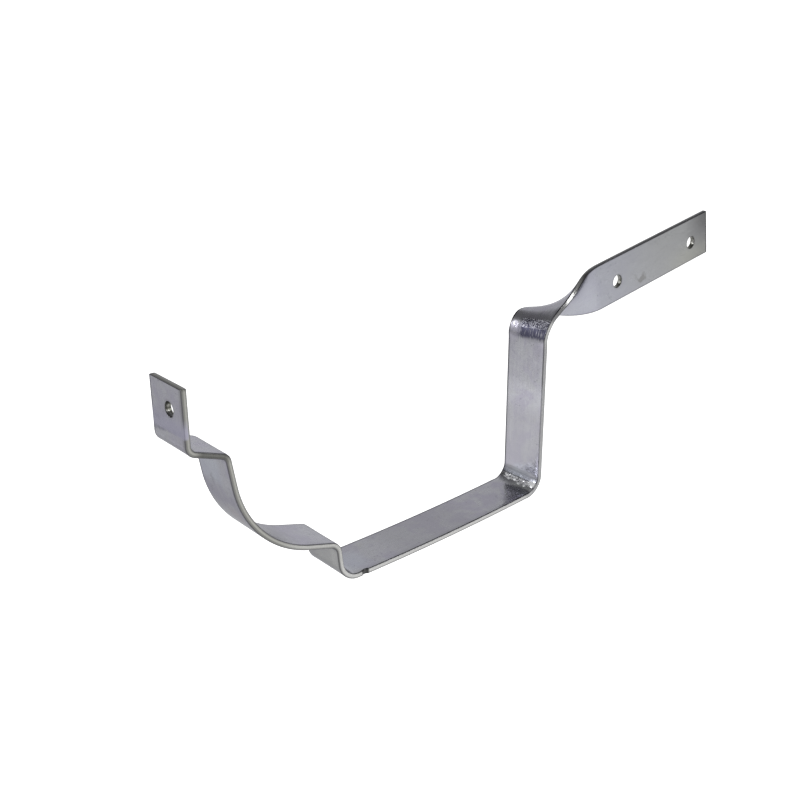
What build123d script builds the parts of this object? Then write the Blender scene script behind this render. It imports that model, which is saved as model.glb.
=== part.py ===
from build123d import *
import os
from math import cos, sin, tan, radians, degrees

# Gutter bracket: one flat strip folded to the section of a moulded gutter
# and twisted a quarter turn into a side-fixing arm.
#
# Frame: +X from the front of the gutter towards the building, +Y along the
# gutter, +Z up. Origin: centre of the arm's front screw hole on the fixing
# face (the arm's +Y face). Millimetres.

# ---------------------------------------------------------------- strip
strip_width = 20.0
strip_thickness = 2.2
edge_round = 0.45            # slit edges of the strip, slightly rounded
end_round = 0.25             # cut ends, slightly eased

# ------------------------------------- section, on the strip's middle line
# (x, z) measured from the seat's front corner, where the step-down meets
# the flat seat
lip_x = -58.3                # upright front lip
lip_top_z = 89.45
lip_foot_z = 67.9
step_end = (-44.6, 63.1)     # short step behind the lip, falling to the back
cove_corner = (-38.65, 26.5) # virtual corner that the cove is swept around
ledge_end = (-1.85, 15.65)   # cove runs out as a falling ledge
seat_front = (0.0, 0.0)
seat_middle = (52.2, 0.12)   # the seat sags a little along its length
seat_back = (104.3, 3.5)
back_x = seat_back[0]        # upright back
back_top_z = 78.05           # virtual corner of the top bend

lip_bend = 3.7
step_bend = 3.3
cove_radius = 40.3
ledge_bend = 5.0
seat_front_bend = 8.3
seat_sag_radius = 1225.0
seat_back_bend = 8.0
top_bend = 12.4

# ------------------------------------------------------- arm and its twist
arm_slope = 10.15            # degrees above the horizontal
arm_length = 102.0           # from the end of the top bend to the cut end
twist_start = -10.3          # along the middle line, 0 = end of the top bend
twist_end = 27.2
twist_turn = 90.0
twist_ease = 0.95            # share of the turn that eases in and out
arm_offset = 5.1             # the arm's middle line lies this far to -Y

# ---------------------------------------------------------------- holes
arm_hole_dia = 5.5
lip_hole_dia = 5.2
lip_hole_drop = 8.65         # below the lip's top end
lip_hole_off = 1.65          # towards -Y from the strip's middle
arm_hole_front = 38.2        # along the arm from the end of the top bend
arm_hole_pitch = 51.8
arm_hole_off = 1.15          # below the arm's middle line

# small nick in the -Y edge of the seat, close to its front bend
nick_x = 10.0
nick_radius = 1.9
nick_depth = 0.55

# ------------------------------------------------------------- derived
slope = radians(arm_slope)
top_turn = 90.0 - arm_slope
top_arc = top_bend * radians(top_turn)
top_tangent = top_bend * tan(radians(top_turn) / 2)
top_start_z = back_top_z - top_tangent
arm_start = (back_x + top_tangent * cos(slope), back_top_z + top_tangent * sin(slope))

hole_x = arm_start[0] + arm_hole_front * cos(slope) + arm_hole_off * sin(slope)
hole_z = arm_start[1] + arm_hole_front * sin(slope) - arm_hole_off * cos(slope)
middle_y = arm_offset - strip_thickness / 2

section_plane = Plane(origin=(-hole_x, middle_y, -hole_z), x_dir=(1, 0, 0), z_dir=(0, -1, 0))


def middle_line(s):
    """Point (x, z) and heading (degrees) of the strip's middle line, s mm past the top bend."""
    if s >= 0:
        return arm_start[0] + s * cos(slope), arm_start[1] + s * sin(slope), arm_slope
    heading = arm_slope - degrees(s / top_bend)
    h = radians(heading)
    centre = (back_x + top_bend, top_start_z)
    return centre[0] - top_bend * sin(h), centre[1] + top_bend * cos(h), heading


def station(s):
    """Plane of the strip's cross-section s mm past the top bend."""
    u = min(max((s - twist_start) / (twist_end - twist_start), 0.0), 1.0)
    ease = u * u * (3 - 2 * u)
    turn = radians(twist_turn) * (twist_ease * ease + (1 - twist_ease) * u)
    x, z, heading = middle_line(s)
    h = radians(heading)
    along = Vector(cos(h), 0, sin(h))
    up = Vector(-sin(h), 0, cos(h))
    across = Vector(0, 1, 0) * cos(turn) - up * sin(turn)
    origin = Vector(x - hole_x, middle_y - arm_offset * ease, z - hole_z)
    return Plane(origin=origin, x_dir=across, z_dir=along)


with BuildPart() as bracket_strap:
    # lip, step, cove, ledge, seat, back and the first third of the top bend
    with BuildLine(section_plane) as fold_line:
        FilletPolyline(
            (lip_x, lip_top_z),
            (lip_x, lip_foot_z),
            step_end,
            cove_corner,
            ledge_end,
            seat_front,
            seat_middle,
            seat_back,
            (back_x, top_start_z),
            radius=(
                lip_bend,
                step_bend,
                cove_radius,
                ledge_bend,
                seat_front_bend,
                seat_sag_radius,
                seat_back_bend,
            ),
        )
        JernArc(
            start=(back_x, top_start_z),
            tangent=(0, 1),
            radius=top_bend,
            arc_size=-degrees((top_arc + twist_start) / top_bend),
        )
    with BuildSketch(Plane(origin=fold_line.line @ 0, x_dir=(0, 1, 0), z_dir=fold_line.line % 0)) as lip_end:
        RectangleRounded(strip_width, strip_thickness, edge_round)
    sweep(path=fold_line.line)

    # quarter twist, from inside the top bend to the arm
    stations = 15
    for i in range(stations):
        s = twist_start + (twist_end - twist_start) * i / (stations - 1)
        with BuildSketch(station(s)):
            RectangleRounded(strip_width, strip_thickness, edge_round)
    loft()

    # straight arm, standing on edge
    with BuildSketch(station(twist_end)):
        RectangleRounded(strip_width, strip_thickness, edge_round)
    extrude(amount=arm_length - twist_end)

    # eased rims of the two cut ends
    lip_end_face = bracket_strap.faces().filter_by(GeomType.PLANE).filter_by(Axis.Z).sort_by(Axis.X)[0]
    arm_end_face = bracket_strap.faces().filter_by(GeomType.PLANE).sort_by(Axis.X)[-1]
    fillet(lip_end_face.edges(), radius=end_round)
    fillet(arm_end_face.edges(), radius=end_round)

    # bolt hole in the lip
    with BuildSketch(
        Plane(
            origin=(lip_x - hole_x - strip_thickness, middle_y - lip_hole_off, lip_top_z - lip_hole_drop - hole_z),
            x_dir=(0, 1, 0),
            z_dir=(1, 0, 0),
        )
    ):
        Circle(lip_hole_dia / 2)
    extrude(amount=2 * strip_thickness, mode=Mode.SUBTRACT)

    # two screw holes in the arm
    with BuildSketch(Plane(origin=(0, strip_thickness, 0), x_dir=(cos(slope), 0, sin(slope)), z_dir=(0, -1, 0))):
        with Locations((0, 0), (arm_hole_pitch, 0)):
            Circle(arm_hole_dia / 2)
    extrude(amount=3 * strip_thickness, mode=Mode.SUBTRACT)

    # nick in the seat's -Y edge
    with BuildSketch(
        Plane(origin=(nick_x - hole_x, middle_y - strip_width / 2 - nick_radius + nick_depth, -hole_z - 4))
    ):
        Circle(nick_radius)
    extrude(amount=8, mode=Mode.SUBTRACT)

bracket_strap.part.label = "bracket_strap"
bracket_strap.part.color = Color(0.62, 0.62, 0.66)

os.makedirs("parts", exist_ok=True)
export_step(bracket_strap.part, "parts/bracket_strap.step")

box = bracket_strap.part.bounding_box()
print("solids", len(bracket_strap.part.solids()), "valid", bracket_strap.part.is_valid)
print("volume mm3", round(bracket_strap.part.volume, 1))
print("box min", [round(v, 3) for v in box.min], "max", [round(v, 3) for v in box.max])
print("clear width between lip and back", round(back_x - lip_x - strip_thickness, 2))
print("origin from seat corner", round(hole_x, 3), round(hole_z, 3))
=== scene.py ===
import math

import bpy
import numpy as np
from mathutils import Matrix, Vector, noise


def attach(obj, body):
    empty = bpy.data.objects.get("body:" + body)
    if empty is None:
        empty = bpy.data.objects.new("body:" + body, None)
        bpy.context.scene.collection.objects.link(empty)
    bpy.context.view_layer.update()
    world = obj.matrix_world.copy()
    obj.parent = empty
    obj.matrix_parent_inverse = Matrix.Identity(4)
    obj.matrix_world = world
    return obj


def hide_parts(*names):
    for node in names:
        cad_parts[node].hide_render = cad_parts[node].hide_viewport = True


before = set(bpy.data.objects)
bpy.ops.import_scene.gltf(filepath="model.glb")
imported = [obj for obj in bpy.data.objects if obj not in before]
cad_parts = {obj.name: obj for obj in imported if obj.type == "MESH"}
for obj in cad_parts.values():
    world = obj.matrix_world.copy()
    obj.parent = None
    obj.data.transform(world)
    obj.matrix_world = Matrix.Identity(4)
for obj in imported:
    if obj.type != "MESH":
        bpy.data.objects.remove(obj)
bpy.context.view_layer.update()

# ------------------------------------------------------------------ sizes
# The strip's folded line, as the CAD has it: millimetres, x and z measured
# from the seat's front corner, turned into the row frame by ORIGIN.
WIDTH, THICK, ROUND, END, SHOULDER = 20.0, 2.2, 0.45, 0.25, 0.07
LINE = [
    (-58.3, 89.45), (-58.3, 67.9), (-44.6, 63.1), (-38.65, 26.5), (-1.85, 15.65),
    (0.0, 0.0), (52.2, 0.12), (104.3, 3.5), (104.3, 78.05),
]
BENDS = [3.7, 3.3, 40.3, 5.0, 8.3, 1225.0, 8.0]
TOP_BEND, ARM_SLOPE, ARM_LENGTH = 12.4, math.radians(10.15), 102.0
TWIST_START, TWIST_END, TWIST_EASE, ARM_OFFSET = -10.3, 27.2, 0.95, 5.1
LIP_HOLE_R, ARM_HOLE_R = 2.6, 2.75
LIP_HOLE = (8.65, -1.65)                # along from the lip's end, across
ARM_HOLE, ARM_PITCH, ARM_DROP = 38.2, 51.8, 1.15
NICK_X, NICK_R, NICK_DEPTH = 10.0, 1.9, 0.55

top_turn = math.pi / 2 - ARM_SLOPE
top_tan = TOP_BEND * math.tan(top_turn / 2)
LINE[-1] = (LINE[-1][0], 78.05 - top_tan)
arm_start = (LINE[-1][0] + top_tan * math.cos(ARM_SLOPE), 78.05 + top_tan * math.sin(ARM_SLOPE))
ORIGIN = (
    arm_start[0] + ARM_HOLE * math.cos(ARM_SLOPE) + ARM_DROP * math.sin(ARM_SLOPE),
    arm_start[1] + ARM_HOLE * math.sin(ARM_SLOPE) - ARM_DROP * math.cos(ARM_SLOPE),
)
MIDDLE_Y = ARM_OFFSET - THICK / 2


def folded_line():
    """[(start length, end length, x, z, heading, curvature)] of the middle line, lip end first."""
    runs, at, cur = [], 0.0, LINE[0]
    for i in range(1, len(LINE) - 1):
        a, b, c = (np.array(p) for p in LINE[i - 1:i + 2])
        d1, d2 = (b - a) / np.hypot(*(b - a)), (c - b) / np.hypot(*(c - b))
        cross, dot = d1[0] * d2[1] - d1[1] * d2[0], d1 @ d2
        turn = math.atan2(abs(cross), dot)
        tangent = BENDS[i - 1] * math.tan(turn / 2)
        start = b - d1 * tangent
        h = math.atan2(d1[1], d1[0])
        length = float(np.hypot(*(start - cur)))
        runs.append((at, at + length, cur[0], cur[1], h, 0.0))
        at += length
        arc = BENDS[i - 1] * turn
        runs.append((at, at + arc, start[0], start[1], h, math.copysign(1 / BENDS[i - 1], cross)))
        at += arc
        cur = b + d2 * tangent
    length = float(np.hypot(*(np.array(LINE[-1]) - cur)))
    runs.append((at, at + length, cur[0], cur[1], math.pi / 2, 0.0))
    at += length
    arc = TOP_BEND * top_turn
    runs.append((at, at + arc, LINE[-1][0], LINE[-1][1], math.pi / 2, -1 / TOP_BEND))
    at += arc
    runs.append((at, at + ARM_LENGTH, arm_start[0], arm_start[1], ARM_SLOPE, 0.0))
    return runs


RUNS = folded_line()
ARM_AT = RUNS[-1][0]                    # length at which the straight arm starts
END_AT = RUNS[-1][1]
MARK = [r[0] for r in RUNS] + [END_AT]  # where each run or bend starts


def place(along, across, out):
    """Points (mm, row frame) at a length along the strip, across it and out from its middle."""
    along, across, out = np.broadcast_arrays(*(np.asarray(v, float) for v in (along, across, out)))
    x, z, h = np.zeros(along.shape), np.zeros(along.shape), np.zeros(along.shape)
    for n, (a, b, px, pz, ph, k) in enumerate(RUNS):
        m = (along >= a) & (along <= b) if n else along <= b
        if n == len(RUNS) - 1:
            m = along >= a
        t = along[m] - a
        if k:
            hh = ph + k * t
            x[m], z[m], h[m] = px + (np.sin(hh) - math.sin(ph)) / k, pz - (np.cos(hh) - math.cos(ph)) / k, hh
        else:
            x[m], z[m], h[m] = px + t * math.cos(ph), pz + t * math.sin(ph), ph
    u = np.clip((along - ARM_AT - TWIST_START) / (TWIST_END - TWIST_START), 0, 1)
    ease = u * u * (3 - 2 * u)
    turn = math.pi / 2 * (TWIST_EASE * ease + (1 - TWIST_EASE) * u)
    zero = np.zeros(along.shape)
    run = np.stack([np.cos(h), zero, np.sin(h)], -1)
    up = np.stack([-np.sin(h), zero, np.cos(h)], -1)
    side = np.stack([zero, np.cos(turn), zero], -1) - up * np.sin(turn)[..., None]
    face = np.cross(run, side)
    centre = np.stack([x - ORIGIN[0], MIDDLE_Y - ARM_OFFSET * ease, z - ORIGIN[1]], -1)
    return centre + side * across[..., None] + face * out[..., None]


def smooth(v, a, b):
    u = np.clip((v - a) / (b - a), 0, 1)
    return u * u * (3 - 2 * u)


# --------------------------------------------------- marks in the surface
CREASE = (16.05, 0.12)                  # tool mark above the lip's bend: length, and slope across
NICK_AT = MARK[9] + 10.0                # set below from the seat's own run
BACK_BEND = 0.5 * (MARK[13] + MARK[14]) - 0.35


# beads of coat left in the back bend: length, across, radius, height
DROPS = [
    (BACK_BEND - 1.7, -2.0, 0.85, 0.42), (BACK_BEND - 1.6, -5.1, 0.8, 0.38), (BACK_BEND + 0.1, -8.4, 1.3, 0.42),
    (BACK_BEND - 1.2, 4.0, 0.9, 0.26), (BACK_BEND - 0.4, 1.2, 0.8, 0.24), (BACK_BEND - 0.2, 6.0, 0.8, 0.20),
]


def length_at_x(x, first, last):
    """Length along the line where the middle line reaches x (mm, seat frame), between two marks."""
    ls = np.linspace(first, last, 4001)
    return float(ls[np.argmin(abs(place(ls, 0, 0)[:, 0] + ORIGIN[0] - x))])


NICK_AT = length_at_x(NICK_X, MARK[10], MARK[11])


def curl(along, across):
    """How far a tight bend's two edges curl away from the bend's centre, mm towards the inner side."""
    d = np.zeros(np.shape(along))
    for n, size, reach in ((1, 0.08, 2.1), (3, 0.08, 2.1), (7, 0.10, 2.1), (9, 0.08, 2.1), (13, 0.20, 2.2), (15, 0.36, 2.5)):
        a, b, k = RUNS[n][0], RUNS[n][1], RUNS[n][5]
        if n == 15:
            b -= 4.0
        window = smooth(along, a - 0.5, a + 2.5) * (1 - smooth(along, b - 2.5, b + 0.5))
        d -= math.copysign(size, k) * window * np.exp(-(WIDTH / 2 - abs(across)) / reach)
    return d


def rough(along, across, fine, coarse, seed):
    return np.array([
        noise.noise(Vector((l * coarse, c * coarse * 0.75, seed))) + 0.6 * noise.noise(Vector((l * fine, c * fine * 0.8, seed + 4.6)))
        for l, c in zip(np.ravel(along), np.ravel(across))
    ]).reshape(np.shape(along))


def relief(along, across, face):
    """How far the surface stands proud of its true place, mm. face is 1 on the inner side, -1 on the outer side."""
    d = np.zeros(np.shape(along))
    inner, outer = face > 0.5, face < -0.5
    # press mark above the lip's bend, deepest at the far end
    line = along - (CREASE[0] + CREASE[1] * across)
    fade = 0.35 + 0.65 * smooth(across, -9.0, 7.0)
    d -= outer * fade * 0.045 * np.exp(-((line / 0.45) ** 2))
    # crumpled coat inside the back bend
    near = abs(along - BACK_BEND) < 9
    n = np.zeros(np.shape(along))
    n[near] = rough(along[near], across[near], 2.6, 1.25, 3.1)
    ragged = np.zeros(np.shape(along))
    ragged[near] = rough(np.full(along[near].shape, 2.0), across[near], 1.9, 0.8, 21.0)
    low = BACK_BEND - 1.1 + 0.9 * ragged
    band = smooth(along, low - 0.3, low + 0.25) * (1 - smooth(along, BACK_BEND + 0.9, BACK_BEND + 1.4))
    d += inner * band * (0.07 + 0.2 * n)
    for l, c, r, h in DROPS:
        d += inner * h * np.exp(-(((along - l) ** 2 + (across - c) ** 2) / (0.5 * r * r)))
    # shallow scores on the outside of the top bend
    near = abs(along - (MARK[15] + 4.5)) < 6
    n = np.zeros(np.shape(along))
    n[near] = rough(along[near] * 0.45, across[near] * 1.5, 2.4, 1.0, 9.3)
    top = smooth(along, MARK[15] + 0.5, MARK[15] + 2.0) * (1 - smooth(along, MARK[15] + 6.2, MARK[15] + 7.6))
    d += inner * top * 0.03 * n
    return d


# ------------------------------------------------------------------ piece
def stations():
    at = {0.0, END_AT}
    for n, (a, b, _, _, _, k) in enumerate(RUNS):
        step = 1.15 if not k else (0.55 if abs(k) > 1 / 15 else 0.95 if abs(k) > 1 / 60 else 1.15)
        count = max(2, math.ceil((b - a) / step))
        at |= {round(float(v), 4) for v in np.linspace(a, b, count + 1)}
    fine = [
        (NICK_AT - NICK_R, NICK_AT + NICK_R, 0.16),
        (BACK_BEND - 3.4, BACK_BEND + 2.4, 0.22),
        (MARK[15], MARK[15] + 8.0, 0.4),
        (CREASE[0] - 3.0, CREASE[0] + 3.6, 0.3),
        (LIP_HOLE[0] - 5.2, LIP_HOLE[0] + 5.2, 0.8),
        (ARM_AT + ARM_HOLE - 5.2, ARM_AT + ARM_HOLE + 5.2, 0.8),
        (ARM_AT + ARM_HOLE + ARM_PITCH - 5.2, ARM_AT + ARM_HOLE + ARM_PITCH + 5.2, 0.8),
        (ARM_AT + TWIST_START, ARM_AT + TWIST_END, 0.6),
    ]
    for a, b, step in fine:
        at = {v for v in at if not a <= v <= b}
        at |= {round(float(v), 4) for v in np.linspace(a, b, math.ceil((b - a) / step) + 1)}
    inside = sorted(v for v in at if END + 0.3 < v < END_AT - END - 0.3)
    ends = [END * (1 - math.sin(math.radians(q))) for q in (90, 60, 30, 0)] + [END + 0.15]
    shrink = [END * (1 - math.cos(math.radians(q))) for q in (90, 60, 30, 0)] + [0.0]
    lengths = ends + inside + [END_AT - v for v in reversed(ends)]
    insets = shrink + [0.0] * len(inside) + list(reversed(shrink))
    keep = [0]
    for i in range(1, len(lengths)):
        if lengths[i] - lengths[keep[-1]] > 0.04:
            keep.append(i)
    return np.array([lengths[i] for i in keep]), np.array([insets[i] for i in keep])


def section():
    """Round the section: (across, out) of the skeleton, the way out from it, and how far it is edge."""
    flat = WIDTH / 2 - ROUND
    core = THICK / 2 - ROUND
    us = [-flat, -flat + 0.14] + list(np.linspace(-flat + 0.45, flat - 0.45, 37)) + [flat - 0.14, flat]
    pts = [(u, core, 0.0, 1.0, 0.0) for u in us]
    for q in (18, 36, 54, 72):
        pts.append((flat, core, math.sin(math.radians(q)), math.cos(math.radians(q)), q / 90))
    pts += [(flat, v, 1.0, 0.0, 1.0) for v in (core, core - 0.14, 0.0, -core + 0.14, -core)]
    for q in (18, 36, 54, 72):
        pts.append((flat, -core, math.cos(math.radians(q)), -math.sin(math.radians(q)), 1 - q / 90))
    pts += [(u, -core, 0.0, -1.0, 0.0) for u in reversed(us)]
    for q in (18, 36, 54, 72):
        pts.append((-flat, -core, -math.sin(math.radians(q)), -math.cos(math.radians(q)), q / 90))
    pts += [(-flat, v, -1.0, 0.0, 1.0) for v in (-core, -core + 0.14, 0.0, core - 0.14, core)]
    for q in (18, 36, 54, 72):
        pts.append((-flat, core, -math.cos(math.radians(q)), math.sin(math.radians(q)), 1 - q / 90))
    return np.array(pts), len(us)


def build_strap():
    lengths, insets = stations()
    loop, nu = section()
    n, k = len(lengths), len(loop)
    su, sv, wu, wv, edge = loop.T
    reach = ROUND - insets[:, None]
    across = su[None] + wu[None] * reach
    out = sv[None] + wv[None] * reach
    along = np.repeat(lengths[:, None], k, 1)
    # the nick bites into the near edge
    bite = np.sqrt(np.clip(NICK_R ** 2 - (along - NICK_AT) ** 2, 0, None)) - (NICK_R - NICK_DEPTH)
    bite = np.clip(bite, 0, None)
    across = across + bite * np.clip((-7.2 - across) / 2.2, 0, 1)
    face = np.where(edge < 0.01, np.sign(wv), 0.0)[None] * np.ones((n, 1))
    raised = relief(along, across, face) * (insets[:, None] == 0)
    out = out + raised * np.sign(wv)[None] * (edge < 0.01)[None]
    # the slit edges are rolled over a little on the inner side
    out = out - np.clip(wv, 0, 1)[None] * SHOULDER * smooth(abs(across), 8.3, 9.6)
    depth = out / (THICK / 2)
    out = np.maximum(out, 0.012 - THICK / 2) + curl(along, across)

    rim = np.maximum(edge[None], np.sqrt(insets[:, None] / END) * np.ones((1, k)))
    verts = list(place(along, across, out).reshape(-1, 3))
    info = list(np.stack([along.ravel(), across.ravel(), depth.ravel(), rim.ravel()], 1))
    vid = lambda i, j: i * k + j % k
    bottom = nu + 4 + 5 + 4             # first point of the outer side, which runs back across
    holes = [(*LIP_HOLE, LIP_HOLE_R), (ARM_AT + ARM_HOLE, ARM_DROP, ARM_HOLE_R)]
    holes.append((ARM_AT + ARM_HOLE + ARM_PITCH, ARM_DROP, ARM_HOLE_R))
    half, us = 4.7, su[:nu]
    skip, faces = set(), []

    for lc, uc, hole_r in holes:
        i0 = int(np.argmin(abs(lengths - (lc - half))))
        i1 = int(np.argmin(abs(lengths - (lc + half))))
        m0 = int(np.argmin(abs(us - (uc - half))))
        m1 = int(np.argmin(abs(us - (uc + half))))
        for i in range(i0, i1):
            for m in range(m0, m1):
                skip.add((i, m))
                skip.add((i, bottom + nu - 2 - m))
        ring = [(i0, m) for m in range(m0, m1)] + [(i, m1) for i in range(i0, i1)]
        ring += [(i1, m) for m in range(m1, m0, -1)] + [(i, m0) for i in range(i1, i0, -1)]
        bl = np.array([lengths[i] for i, _ in ring]) - lc
        bu = np.array([us[m] for _, m in ring]) - uc
        ang = np.arctan2(bu, bl)
        rad = np.hypot(bl, bu)
        ease_in, ease_out = 0.16, 0.12  # rolled-in rim on the punched side, sharper on the other
        rows = []
        for share in (0.0, 0.5, 1.0):
            r = rad * (1 - share) + 4.1 * share
            rows.append((r, THICK / 2, 0.0))
        rows.append((3.7, THICK / 2, 0.0))
        rows.append((hole_r + ease_out + 0.14, THICK / 2, 0.0))
        for q in (0, 22.5, 45, 67.5, 90):
            s, c = math.sin(math.radians(q)), math.cos(math.radians(q))
            rows.append((hole_r + ease_out * (1 - s), THICK / 2 - ease_out * (1 - c), q / 90))
        rows += [(hole_r, 0.3, 1.0), (hole_r, -0.15, 1.0)]
        for q in (90, 67.5, 45, 22.5, 0):
            s, c = math.sin(math.radians(q)), math.cos(math.radians(q))
            rows.append((hole_r + ease_in * (1 - s), -THICK / 2 + ease_in * (1 - c), q / 90))
        rows.append((hole_r + ease_in + 0.14, -THICK / 2, 0.0))
        rows.append((3.75, -THICK / 2, 0.0))
        for share in (1.0, 0.5, 0.0):
            r = rad * (1 - share) + 4.1 * share
            rows.append((r, -THICK / 2, 0.0))
        ids = []
        for number, (r, v, e) in enumerate(rows):
            if number == 0:
                ids.append([vid(i, m) for i, m in ring])
                continue
            if number == len(rows) - 1:
                ids.append([vid(i, bottom + nu - 1 - m) for i, m in ring])
                continue
            r = np.broadcast_to(r, ang.shape)
            ls, xs = lc + r * np.cos(ang), uc + r * np.sin(ang)
            first = len(verts)
            verts += list(place(ls, xs, v))
            info += [np.array((l, x, v / (THICK / 2), e)) for l, x in zip(ls, xs)]
            ids.append(list(range(first, first + len(ang))))
        count = len(ang)
        for a, b in zip(ids, ids[1:]):
            for q in range(count):
                faces.append((a[q], a[(q + 1) % count], b[(q + 1) % count], b[q]))

    for i in range(n - 1):
        for j in range(k):
            if (i, j) not in skip:
                faces.append((vid(i, j), vid(i + 1, j), vid(i + 1, j + 1), vid(i, j + 1)))
    for i in (0, n - 1):
        for m in range(nu - 1):
            faces.append((vid(i, m), vid(i, m + 1), vid(i, bottom + nu - 2 - m), vid(i, bottom + nu - 1 - m)))
        faces.append(tuple(vid(i, j) for j in range(nu - 1, bottom + 1)))
        faces.append(tuple(vid(i, j) for j in list(range(bottom + nu - 1, k)) + [0]))

    # points left inside the holes are dropped
    used = sorted({v for f in faces for v in f})
    new = {v: q for q, v in enumerate(used)}
    verts = np.array(verts)[used] * 0.001
    info = np.array(info)[used]
    faces = [tuple(new[v] for v in f) for f in faces]

    mesh = bpy.data.meshes.new("bracket_strap_detailed")
    mesh.from_pydata([tuple(v) for v in verts], [], faces)
    mesh.update()
    import bmesh
    bm = bmesh.new()
    bm.from_mesh(mesh)
    bmesh.ops.recalc_face_normals(bm, faces=bm.faces)
    bm.to_mesh(mesh)
    bm.free()
    for name, column in (("along", 0), ("across", 1), ("out", 2), ("edge", 3)):
        layer = mesh.attributes.new(name, "FLOAT", "POINT")
        layer.data.foreach_set("value", info[:, column].astype(np.float32))
    uv = mesh.uv_layers.new(name="strip")
    loops = np.empty(len(mesh.loops), np.int32)
    mesh.loops.foreach_get("vertex_index", loops)
    flat = np.stack([info[loops, 0] / END_AT, 0.5 + info[loops, 1] / (2 * WIDTH) * np.where(info[loops, 2] > 0, 1, -1)], 1)
    uv.data.foreach_set("uv", flat.astype(np.float32).ravel())
    mesh.shade_smooth()
    piece = bpy.data.objects.new("bracket_strap_detailed", mesh)
    bpy.context.scene.collection.objects.link(piece)
    return piece


# --------------------------------------------------------------- material
class Nodes:
    """Short names for building a shader's nodes."""

    def __init__(self, tree):
        self.tree = tree

    def link(self, value, socket):
        if isinstance(value, bpy.types.NodeSocket):
            self.tree.links.new(value, socket)
        else:
            socket.default_value = value

    def attr(self, name):
        node = self.tree.nodes.new("ShaderNodeAttribute")
        node.attribute_type = "GEOMETRY"
        node.attribute_name = name
        return node.outputs["Fac"]

    def math(self, op, a, b=0.0, c=0.0, clamp=False):
        node = self.tree.nodes.new("ShaderNodeMath")
        node.operation, node.use_clamp = op, clamp
        for value, socket in zip((a, b, c), node.inputs):
            self.link(value, socket)
        return node.outputs[0]

    def add(self, a, b):
        return self.math("ADD", a, b)

    def sub(self, a, b):
        return self.math("SUBTRACT", a, b)

    def mul(self, a, b):
        return self.math("MULTIPLY", a, b)

    def step(self, value, a, b, low=0.0, high=1.0):
        """Eases from low to high as value goes from a to b."""
        node = self.tree.nodes.new("ShaderNodeMapRange")
        node.interpolation_type = "SMOOTHSTEP"
        for v, name in zip((value, a, b, low, high), ("Value", "From Min", "From Max", "To Min", "To Max")):
            self.link(v, node.inputs[name])
        return node.outputs[0]

    def band(self, value, centre, half, soft):
        """1 within half of centre, easing to 0 over soft."""
        away = self.math("ABSOLUTE", self.sub(value, centre))
        return self.step(away, half, half + soft, 1.0, 0.0)

    def vector(self, x, y, z):
        node = self.tree.nodes.new("ShaderNodeCombineXYZ")
        for value, socket in zip((x, y, z), node.inputs):
            self.link(value, socket)
        return node.outputs[0]

    def noise(self, vector, scale, detail=3.0, rough=0.55, warp=0.0):
        node = self.tree.nodes.new("ShaderNodeTexNoise")
        self.link(vector, node.inputs["Vector"])
        node.inputs["Scale"].default_value = scale
        node.inputs["Detail"].default_value = detail
        node.inputs["Roughness"].default_value = rough
        node.inputs["Distortion"].default_value = warp
        return node.outputs[0]

    def cells(self, vector, scale, feature="F1", random=1.0):
        node = self.tree.nodes.new("ShaderNodeTexVoronoi")
        node.feature = feature
        self.link(vector, node.inputs["Vector"])
        node.inputs["Scale"].default_value = scale
        node.inputs["Randomness"].default_value = random
        return node.outputs

    def mix(self, share, a, b, mode="MIX"):
        node = self.tree.nodes.new("ShaderNodeMix")
        node.data_type, node.blend_type = "RGBA", mode
        node.clamp_factor = True
        self.link(share, node.inputs[0])
        for value, socket in ((a, node.inputs[6]), (b, node.inputs[7])):
            self.link((*value, 1.0) if isinstance(value, tuple) and len(value) == 3 else value, socket)
        return node.outputs[2]

    def bump(self, height, strength, distance, normal=None):
        node = self.tree.nodes.new("ShaderNodeBump")
        node.inputs["Strength"].default_value = strength
        node.inputs["Distance"].default_value = distance
        self.link(height, node.inputs["Height"])
        if normal is not None:
            self.link(normal, node.inputs["Normal"])
        return node.outputs[0]


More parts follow.
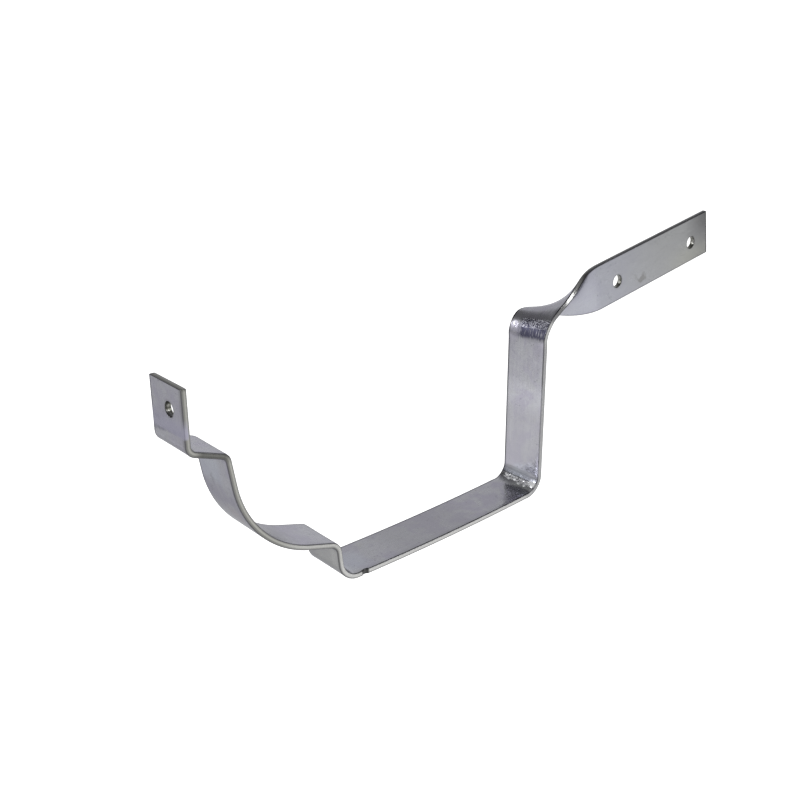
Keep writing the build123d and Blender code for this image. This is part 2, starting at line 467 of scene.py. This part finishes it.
def zinc():
    material = bpy.data.materials.new("zinc_steel_detailed")
    material.use_nodes = True
    tree = material.node_tree
    shader = tree.nodes["Principled BSDF"]
    g = Nodes(tree)
    along, across, out, edge = (g.attr(n) for n in ("along", "across", "out", "edge"))
    strip = g.vector(along, across, g.mul(out, 6.0))
    inner = g.step(out, 0.2, 0.6)                       # 1 on the inner side, 0 on the outer
    arm = g.step(along, ARM_AT + 4.0, ARM_AT + 16.0)

    # cloudy zinc: lilac, neutral and faintly green patches
    cloud = g.noise(strip, 0.085, 4.0, 0.62, 0.8)
    cloud2 = g.noise(g.vector(g.mul(along, 0.75), across, g.mul(out, 9.0)), 0.24, 3.0, 0.65)
    mottle = g.noise(g.vector(along, across, g.add(g.mul(out, 7.0), 31.0)), 0.5, 3.0, 0.7, 0.5)
    colour = g.mix(g.step(cloud, 0.40, 0.60), (0.352, 0.343, 0.402), (0.408, 0.411, 0.440))
    colour = g.mix(g.step(cloud2, 0.54, 0.74, 0.0, 0.40), colour, (0.405, 0.41, 0.395))
    colour = g.mix(g.step(mottle, 0.53, 0.70, 0.0, 0.42), colour, (0.455, 0.455, 0.49))
    colour = g.mix(g.step(mottle, 0.46, 0.30, 0.0, 0.45), colour, (0.28, 0.275, 0.315))

    # rolling streaks along the strip
    streak = g.noise(g.vector(g.mul(along, 0.035), g.mul(across, 1.9), g.mul(out, 5.0)), 1.0, 4.0, 0.65)
    colour = g.mix(g.step(streak, 0.3, 0.72, 0.0, 0.25), colour, (0.30, 0.295, 0.335))
    grain = g.noise(strip, 1.6, 3.0, 0.7)
    colour = g.mix(g.step(grain, 0.45, 0.8, 0.0, 0.28), colour, (0.46, 0.46, 0.49))

    # painted light: bluer, paler patches on the step, beside the seat's front bend and under the back bend
    painted_light_patch = g.mul(g.band(along, 127.0, 2.5, 6.0), g.mul(inner, g.band(across, -1.5, 3.0, 6.0)))
    painted_light_patch = g.math("MAXIMUM", painted_light_patch, g.mul(g.band(g.add(along, g.mul(across, 0.35)), 224.5, 2.2, 2.5), g.mul(inner, g.band(across, -1.0, 3.6, 3.0))))
    painted_light_patch = g.math("MAXIMUM", painted_light_patch, g.mul(g.band(along, 43.0, 2.5, 5.0), g.mul(g.sub(1.0, inner), g.band(across, 4.0, 5.0, 5.0))))
    colour = g.mix(g.mul(painted_light_patch, 0.55), colour, (0.44, 0.465, 0.52))
    # painted shade: darker, duller zinc low on the upright and in the front half of the seat
    upright_seat_shade = g.math("MAXIMUM", g.mul(g.band(along, 240.0, 9.0, 10.0), 0.45), g.mul(g.band(along, 165.0, 14.0, 12.0), 0.32))
    colour = g.mix(g.mul(upright_seat_shade, inner), colour, (0.262, 0.259, 0.28))
    # painted light: a paler band across the inner face at along 81.5
    colour = g.mix(g.mul(g.mul(g.band(along, 81.5, 3.0, 4.5), inner), 0.6), colour, (0.58, 0.58, 0.63))
    # greener, duller zinc on the step-down and low on the cove
    dull = g.mul(g.band(along, 110.0, 4.0, 5.0), g.sub(1.0, inner))
    colour = g.mix(g.mul(dull, 0.6), colour, (0.37, 0.375, 0.35))
    pale_band = g.mul(g.mul(g.band(along, 109.5, 4.5, 2.5), g.band(across, -7.2, 0.9, 1.6)), g.sub(1.0, inner))
    colour = g.mix(g.mul(pale_band, 0.2), colour, (0.55, 0.55, 0.54))
    rosy = g.mul(g.mul(g.band(along, 61.0, 1.5, 4.5), g.band(across, -3.2, 1.5, 4.0)), g.sub(1.0, inner))
    colour = g.mix(g.mul(rosy, 0.35), colour, (0.42, 0.35, 0.36))

    # the arm turns from bluish to neutral grey; its darkening towards the cut end, strongest along the top edge, is
    # painted shade
    arm_way = g.step(along, ARM_AT + 18.0, ARM_AT + 78.0)
    colour = g.mix(g.mul(arm, 0.65), colour, (0.365, 0.375, 0.425))
    colour = g.mix(g.mul(arm_way, 0.7), colour, (0.345, 0.35, 0.335))
    yellow = g.mul(g.step(along, ARM_AT + 66.0, ARM_AT + 90.0), g.step(across, -2.0, 7.0))
    colour = g.mix(g.mul(yellow, 0.35), colour, (0.41, 0.41, 0.33))
    # painted shade: darker towards the cut end and the top edge
    arm_end_shade = g.mul(g.step(along, ARM_AT + 82.0, ARM_AT + 103.0), g.step(across, 9.0, -9.0, 0.35, 1.0))
    colour = g.mix(g.mul(arm_end_shade, 0.92), colour, (0.145, 0.145, 0.145))
    # painted shade: a soft dark ring round each hole stands in for the shadow of its burr
    for l, c, r in ((LIP_HOLE[0], LIP_HOLE[1], LIP_HOLE_R), (ARM_AT + ARM_HOLE, ARM_DROP, ARM_HOLE_R), (ARM_AT + ARM_HOLE + ARM_PITCH, ARM_DROP, ARM_HOLE_R)):
        dl, dc = g.sub(along, l), g.sub(across, c)
        away = g.math("SQRT", g.add(g.mul(dl, dl), g.mul(dc, dc)))
        ring = g.mul(g.step(away, r + 1.0, r + 0.15), g.step(mottle, 0.35, 0.6, 0.35, 1.0))
        colour = g.mix(g.mul(ring, 0.4), colour, (0.15, 0.15, 0.14))

    # specks and pits
    speck = g.cells(strip, 0.55)["Distance"]
    speck = g.mul(g.step(speck, 0.10, 0.20, 1.0, 0.0), g.step(g.noise(strip, 0.21, 2.0), 0.50, 0.60))
    colour = g.mix(g.mul(speck, 0.45), colour, (0.15, 0.145, 0.16))

    # smudges: one on the arm, a faint one below its front hole, one on the lip, two on the cove
    def spot(l, c, wide, high, soft=1.6, wobble=1.3):
        x = g.math("DIVIDE", g.add(g.sub(along, l), g.mul(g.sub(mottle, 0.5), 6.0 * wobble)), wide)
        y = g.math("DIVIDE", g.add(g.sub(across, c), g.mul(g.sub(cloud2, 0.5), 6.0 * wobble)), high)
        return g.step(g.add(g.mul(x, x), g.mul(y, y)), 1.0 / soft, soft, 1.0, 0.0)
    face_b = g.sub(1.0, inner)
    colour = g.mix(g.mul(g.mul(spot(354.6, 5.1, 2.3, 1.2, 2.2), face_b), 0.55), colour, (0.17, 0.165, 0.15))
    colour = g.mix(g.mul(g.mul(spot(351.5, 4.2, 1.1, 0.7), face_b), 0.4), colour, (0.22, 0.22, 0.21))
    colour = g.mix(g.mul(g.mul(spot(332.6, 6.2, 0.5, 1.5), face_b), 0.45), colour, (0.2, 0.2, 0.22))
    colour = g.mix(g.mul(g.mul(spot(12.9, 7.0, 0.45, 1.3), face_b), 0.6), colour, (0.15, 0.15, 0.16))
    colour = g.mix(g.mul(g.mul(spot(47.3, 2.8, 1.6, 0.8), face_b), 0.35), colour, (0.2, 0.2, 0.21))
    colour = g.mix(g.mul(g.mul(spot(52.0, 5.5, 1.4, 0.7), face_b), 0.25), colour, (0.2, 0.2, 0.21))

    # outside of the top bend: dark lilac drawn into short streaks, with pale scribbles above; the far end stays
    # undarkened. The dark is partly tool marks and partly painted shade hiding the lamp's highlight there
    bend = g.sub(along, MARK[15])
    drawn = g.noise(g.vector(g.mul(bend, 0.20), g.mul(across, 1.55), 4.0), 1.0, 2.0, 0.6, 0.2)
    patch = g.noise(g.vector(g.mul(bend, 0.5), g.mul(across, 0.4), 14.0), 1.0, 2.0, 0.5)
    low = g.add(bend, g.mul(across, 0.10))
    foot = g.add(g.sub(low, 1.4), g.mul(g.sub(drawn, 0.5), 2.6))
    head = g.add(g.sub(low, 8.6), g.mul(g.sub(patch, 0.5), 2.0))
    # painted shade in part: this darkening also hides the lamp's highlight across the bend's middle
    top_dark = g.mul(g.mul(g.step(foot, -0.9, 0.9), g.step(head, -0.7, 0.7, 1.0, 0.0)), inner)
    side_clean = g.step(g.add(across, g.mul(g.sub(patch, 0.5), 5.0)), 3.2, 5.8, 1.0, 0.12)
    top_dark = g.mul(top_dark, side_clean)
    streaks = g.mul(g.step(drawn, 0.54, 0.63, 0.0, 0.72), g.step(low, 1.6, 3.2))
    top_dark = g.mul(top_dark, g.sub(1.0, streaks))
    colour = g.mix(g.mul(top_dark, 0.96), colour, (0.050, 0.050, 0.092))
    scribble = g.noise(g.vector(g.mul(bend, 0.62), g.mul(across, 0.55), 9.0), 1.0, 2.0, 0.6, 2.6)
    scribble = g.step(g.math("ABSOLUTE", g.sub(scribble, 0.5)), 0.010, 0.045, 1.0, 0.0)
    scribble = g.mul(g.mul(scribble, g.band(low, 7.1, 1.4, 0.8)), g.mul(inner, g.step(across, 5.5, 3.0)))
    colour = g.mix(g.mul(scribble, 0.85), colour, (0.80, 0.80, 0.88))

    # inside the back bend: a thin dark line painted above the crumpled coat as a dark reflection, and pale flakes and
    # beads in it whose white is painted highlight
    inside = g.sub(along, BACK_BEND)
    # painted reflection: thin dark line above the crumpled coat
    painted_dark_line = g.mul(g.band(g.add(inside, g.mul(g.sub(cloud2, 0.5), 0.6)), 1.9, 0.5, 0.6), inner)
    colour = g.mix(g.mul(painted_dark_line, 0.7), colour, (0.13, 0.135, 0.16))
    # painted shade: darkens the lamp's highlight line across the bend above the coat
    bend_line_shade = g.mul(g.band(along, 222.75, 0.85, 0.7), inner)
    colour = g.mix(g.mul(bend_line_shade, 0.55), colour, (0.125, 0.135, 0.16))
    # painted highlight: a pale patch by the near edge just above the back bend
    painted_highlight = g.mul(g.mul(g.band(along, 227.0, 1.6, 2.4), g.band(across, -7.2, 1.4, 2.4)), inner)
    colour = g.mix(g.mul(painted_highlight, 0.6), colour, (0.60, 0.61, 0.67))
    # painted highlight: the crumpled coat and its beads are real relief, painted near white to stand in for their
    # glints
    flake = g.noise(g.vector(g.mul(along, 1.3), g.mul(across, 1.1), 12.0), 1.0, 2.0, 0.6)
    flakes_and_glints = g.mul(g.mul(g.band(inside, 0.0, 0.9, 0.5), inner), g.step(flake, 0.42, 0.58, 0.0, 0.75))
    beads = 0.0
    for l, c, r, h in DROPS:
        dl, dc = g.sub(along, l), g.sub(across, c)
        away = g.math("SQRT", g.add(g.mul(dl, dl), g.mul(dc, dc)))
        beads = g.math("MAXIMUM", beads, g.step(away, r * 1.05, r * 0.5, 0.0, 0.45 + 1.3 * h))
    flakes_and_glints = g.math("MAXIMUM", flakes_and_glints, g.mul(beads, inner))
    # painted highlight: a white glint at the near end of the coat
    glint = g.mul(g.mul(g.band(along, BACK_BEND + 0.7, 0.75, 0.5), g.step(across, -5.6, -7.2)), inner)
    flakes_and_glints = g.math("MAXIMUM", flakes_and_glints, glint)
    colour = g.mix(g.mul(flakes_and_glints, 0.94), colour, (0.95, 0.96, 0.97))
    # painted shade: dark in the bend's far corner
    corner_shade = g.mul(g.mul(g.band(inside, 0.0, 0.7, 1.2), g.step(across, 6.8, 8.0)), inner)
    colour = g.mix(g.mul(corner_shade, 0.8), colour, (0.07, 0.07, 0.07))
    # painted light: paler zinc on the near half of the seat's end and the foot of the back bend
    seat_end_light = g.mul(g.mul(g.step(inside, -7.5, -2.5), g.step(inside, -1.0, -1.7)), inner)
    colour = g.mix(g.mul(seat_end_light, g.step(across, 3.0, -1.5, 0.0, 0.8)), colour, (0.60, 0.61, 0.62))

    # slit edges: sheared, a little duller than the faces, dark along their rolled corners
    shear = g.noise(g.vector(g.mul(along, 2.6), 0.0, g.mul(out, 0.7)), 1.0, 3.0, 0.7)
    slit = g.mix(g.step(shear, 0.35, 0.7), (0.34, 0.34, 0.335), (0.46, 0.46, 0.45))
    slit = g.mix(g.mul(g.band(along, 250.0, 30.0, 10.0), 0.85), slit, g.mix(g.step(shear, 0.35, 0.7), (0.21, 0.21, 0.215), (0.29, 0.29, 0.295)))
    slit = g.mix(g.step(out, 0.0, -0.75, 0.0, 0.8), slit, (0.23, 0.23, 0.225))
    slit = g.mix(g.step(out, -0.35, -0.62, 0.0, 0.7), slit, (0.13, 0.13, 0.13))
    front_part = g.add(g.step(along, 118.0, 106.0, 0.0, 0.4), g.step(along, 90.0, 74.0, 0.0, 0.45))
    front = g.mix(g.band(out, 0.15, 0.12, 0.3), (0.14, 0.14, 0.13), (0.255, 0.255, 0.235))
    slit = g.mix(front_part, slit, front)
    slit = g.mix(g.step(along, 1.0, 0.4, 0.0, 0.6), slit, (0.11, 0.11, 0.10))
    step_edge = g.mul(g.band(along, 30.0, 4.0, 4.0), g.step(shear, 0.25, 0.6, 1.0, 0.75))
    slit = g.mix(g.mul(step_edge, 0.9), slit, (0.055, 0.055, 0.052))
    slit = g.mix(g.mul(g.band(along, 297.0, 3.5, 2.0), 0.75), slit, (0.12, 0.12, 0.125))
    arm_top = g.mul(g.step(along, ARM_AT + 9.0, ARM_AT + 17.0), g.step(across, -9.0, -9.6))
    slit = g.mix(g.mul(arm_top, 0.92), slit, g.mix(g.step(out, -0.1, 0.4), (0.07, 0.07, 0.072), (0.18, 0.18, 0.175)))
    # painted shade: the hole walls are darkened, less where the drip noise is high
    in_hole = g.step(g.math("ABSOLUTE", across), 9.2, 8.8)
    in_hole = g.mul(in_hole, g.mul(g.step(along, 2.0, 3.0), g.step(along, END_AT - 2.0, END_AT - 3.0)))
    drip = g.noise(g.vector(g.mul(along, 0.8), g.mul(across, 0.8), g.mul(out, 0.9)), 1.0, 2.0, 0.5)
    slit = g.mix(g.mul(in_hole, g.step(drip, 0.60, 0.46, 0.35, 0.85)), slit, (0.095, 0.095, 0.08))
    colour = g.mix(g.step(edge, 0.5, 0.95), colour, slit)
    corner = g.math("MAXIMUM", g.band(edge, 0.42, 0.26, 0.25), g.mul(g.step(g.math("ABSOLUTE", across), 9.05, 9.5), g.step(across, -1.0, 1.0, 0.5, 0.8)))
    outer_line = g.mul(g.mul(g.band(edge, 0.5, 0.34, 0.15), g.step(out, -0.3, -0.6)), g.mul(g.step(along, 118.0, 124.0), g.step(across, -9.0, -9.4)))
    corner = g.math("MAXIMUM", corner, outer_line)
    corner = g.mul(corner, g.step(edge, 0.95, 0.8))
    corner = g.mul(corner, g.step(shear, 0.2, 0.5, 0.7, 1.0))
    corner = g.mul(corner, g.sub(1.0, g.mul(g.mul(g.band(along, 245.0, 17.0, 6.0), inner), 0.6)))
    colour = g.mix(g.mul(corner, 0.82), colour, (0.06, 0.06, 0.065))
    lip_rim = g.mul(g.mul(g.step(across, -8.3, -8.9), g.step(edge, 0.6, 0.3)), g.mul(face_b, g.step(along, 24.0, 20.0)))
    colour = g.mix(g.mul(lip_rim, 0.45), colour, (0.17, 0.17, 0.17))
    cut = g.mul(g.step(along, END_AT - 1.3, END_AT - 0.6), face_b)
    colour = g.mix(g.mul(cut, 0.8), colour, (0.07, 0.07, 0.07))
    far_line = g.math("MAXIMUM", g.mul(g.math("MAXIMUM", g.band(along, 30.0, 8.0, 3.0), g.band(along, 182.0, 102.0, 4.0)), inner), g.mul(g.step(along, 120.0, 116.0), face_b))
    far_line = g.mul(g.mul(far_line, g.step(across, 8.8, 9.3)), g.step(streak, 0.25, 0.5, 0.6, 1.0))
    colour = g.mix(g.mul(far_line, 0.8), colour, (0.07, 0.07, 0.078))
    far_rim = g.mul(g.mul(g.band(along, 294.0, 5.0, 2.5), g.step(across, 8.9, 9.3)), inner)
    colour = g.mix(g.mul(far_rim, 0.85), colour, (0.04, 0.04, 0.04))
    twist_rim = g.mul(g.mul(g.band(along, 306.0, 8.0, 5.0), g.step(across, -9.2, -9.6)), g.band(edge, 0.45, 0.35, 0.12))
    colour = g.mix(g.mul(twist_rim, 0.9), colour, (0.02, 0.02, 0.025))

    # tool mark above the lip's bend, strongest at the far end
    crease = g.sub(along, g.add(CREASE[0], g.mul(across, CREASE[1])))
    on_lip = g.mul(g.band(g.add(crease, g.mul(g.sub(mottle, 0.5), 1.6)), 0.0, 0.25, 1.1), face_b)
    on_lip = g.mul(on_lip, g.step(patch, 0.3, 0.7, 0.35, 0.75))
    colour = g.mix(g.mul(on_lip, g.step(along, 26.0, 24.0)), colour, (0.15, 0.148, 0.19))
    # painted shade: the lip darkened between along 9 and 17
    lip_low = g.mul(g.mul(g.step(along, 9.0, 14.0), g.step(along, 17.0, 16.0)), face_b)
    colour = g.mix(g.mul(lip_low, 0.8), colour, (0.28, 0.275, 0.34))

    # near black in and around the nick on the near edge
    nick = g.mul(g.band(along, NICK_AT, 1.2, 0.8), g.step(across, -8.9, -9.5))
    colour = g.mix(g.mul(nick, 0.92), colour, (0.035, 0.035, 0.035))

    tree.links.new(colour, shader.inputs["Base Color"])
    shader.inputs["Specular Tint"].default_value = (0.6, 0.6, 0.62, 1.0)
    tree.links.new(g.sub(1.0, g.mul(flakes_and_glints, 0.85)), shader.inputs["Metallic"])

    rough = g.add(g.mul(cloud, 0.09), g.mul(streak, 0.09))
    rough = g.add(rough, g.mul(grain, 0.06))
    rough = g.add(rough, g.mul(mottle, 0.07))
    rough = g.add(rough, 0.095)
    rough = g.add(rough, g.mul(scribble, 0.3))
    rough = g.add(rough, g.mul(edge, 0.05))
    rough = g.add(rough, g.mul(flakes_and_glints, 0.12))
    tree.links.new(rough, shader.inputs["Roughness"])

    fine = g.noise(g.vector(g.mul(along, 0.5), g.mul(across, 3.2), g.mul(out, 9.0)), 1.0, 4.0, 0.7)
    normal = g.bump(cloud2, 0.35, 0.00025)
    normal = g.bump(fine, 0.22, 0.00006, normal)
    normal = g.bump(g.mul(speck, -1.0), 0.4, 0.00006, normal)
    tree.links.new(normal, shader.inputs["Normal"])
    return material


strap = build_strap()
strap.data.materials.append(zinc())
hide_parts("bracket_strap")
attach(strap, "root")
print("faces", len(strap.data.polygons), "triangles", sum(len(p.vertices) - 2 for p in strap.data.polygons))


# ------------------------------------------------------------------ stage
def emitter(name, place_at, target, size, size_y, watts, colour=(1, 1, 1)):
    data = bpy.data.lights.new(name, "AREA")
    data.shape, data.size, data.size_y, data.energy, data.color = "RECTANGLE", size, size_y, watts, colour
    lamp = bpy.data.objects.new(name, data)
    bpy.context.scene.collection.objects.link(lamp)
    lamp.location = place_at
    lamp.rotation_mode = "QUATERNION"
    lamp.rotation_quaternion = (Vector(target) - Vector(place_at)).to_track_quat("-Z", "Y")
    lamp.visible_camera = False
    return lamp


floor_mesh = bpy.data.meshes.new("floor")
R = 60.0
floor_mesh.from_pydata([(-R, -R, -0.42), (R, -R, -0.42), (R, R, -0.42), (-R, R, -0.42)], [], [(0, 1, 2, 3)])
floor = bpy.data.objects.new("floor", floor_mesh)
bpy.context.scene.collection.objects.link(floor)
pale = bpy.data.materials.new("floor_pale")
pale.use_nodes = True
f = Nodes(pale.node_tree)
fs = pale.node_tree.nodes["Principled BSDF"]
fs.inputs["Base Color"].default_value = (0.8, 0.8, 0.8, 1)
fs.inputs["Roughness"].default_value = 0.9
fs.inputs["Specular IOR Level"].default_value = 0.1
fs.inputs["Emission Color"].default_value = (1, 1, 1, 1)
lit = pale.node_tree.nodes.new("ShaderNodeLightPath").outputs["Is Camera Ray"]
pale.node_tree.links.new(f.add(0.39, f.mul(lit, 0.50)), fs.inputs["Emission Strength"])
floor_mesh.materials.append(pale)

world = bpy.data.worlds.new("studio")
bpy.context.scene.world = world
world.use_nodes = True
w = Nodes(world.node_tree)
background = world.node_tree.nodes["Background"]
way = world.node_tree.nodes.new("ShaderNodeTexCoord").outputs["Generated"]
parts = world.node_tree.nodes.new("ShaderNodeSeparateXYZ")
world.node_tree.links.new(way, parts.inputs[0])
dx, dy, dz = parts.outputs
towards_back = w.add(w.mul(dx, 0.70), w.mul(dy, 0.55))
low_sky = w.mul(w.step(dz, 0.60, 0.80, 1.0, 0.0), w.step(towards_back, 0.28, 0.62))
rim_left = w.mul(w.step(dz, 0.28, 0.50, 1.0, 0.0), w.step(dx, -0.2, -0.6))
horizon = w.mul(w.step(dz, 0.10, 0.28, 1.0, 0.0), w.step(towards_back, 0.28, 0.62))
sky = w.add(w.add(0.22, w.mul(low_sky, 0.84)), w.add(w.mul(rim_left, 0.80), w.mul(horizon, 0.55)))
front_sky = w.mul(w.step(dy, -0.45, -0.80), w.step(dz, 0.45, 0.70, 1.0, 0.0))
zenith = w.step(dz, 0.86, 0.97)
sky = w.add(sky, w.add(w.mul(front_sky, 0.42), w.mul(zenith, 0.42)))
seen = world.node_tree.nodes.new("ShaderNodeLightPath").outputs["Is Camera Ray"]
sky = w.add(w.mul(sky, w.sub(1.0, seen)), w.mul(seen, 1.1))
world.node_tree.links.new(sky, background.inputs["Strength"])
background.inputs["Color"].default_value = (1, 1, 1, 1)

emitter("softbox_left", (-1.11, 0.57, 0.53), (-0.04, 0.0, -0.02), 0.19, 0.27, 5.0)
emitter("softbox_front", (0.52, -1.28, 0.70), (0.03, 0.0, 0.02), 0.5, 0.5, 8.0)
emitter("table_left", (-0.80, 0.54, -0.405), (-0.80, 0.54, 1.0), 0.6, 0.38, 0.40)
emitter("table_far", (-0.74, 1.16, -0.405), (-0.74, 1.16, 1.0), 0.5, 0.36, 0.12)
emitter("table_right", (0.90, -0.62, -0.405), (0.90, -0.62, 1.0), 2.0, 1.6, 4.75)

# ----------------------------------------------------------------- camera
data = bpy.data.cameras.new("camera")
data.sensor_width, data.lens = 36.0, 47.2583
data.clip_start, data.clip_end = 0.01, 500.0
camera = bpy.data.objects.new("camera", data)
bpy.context.scene.collection.objects.link(camera)
right = Vector((0.761408, -0.648252, -0.005161))
up = Vector((0.238006, 0.272129, 0.932362))
back = Vector((-0.603001, -0.711136, 0.361489))
turn = Matrix((right, up, back)).transposed().to_4x4()
camera.matrix_world = Matrix.Translation((-0.352464, -0.274114, 0.115051)) @ turn
bpy.context.scene.camera = camera

bpy.context.scene.view_settings.view_transform = "Standard"
bpy.context.scene.view_settings.look = "None"
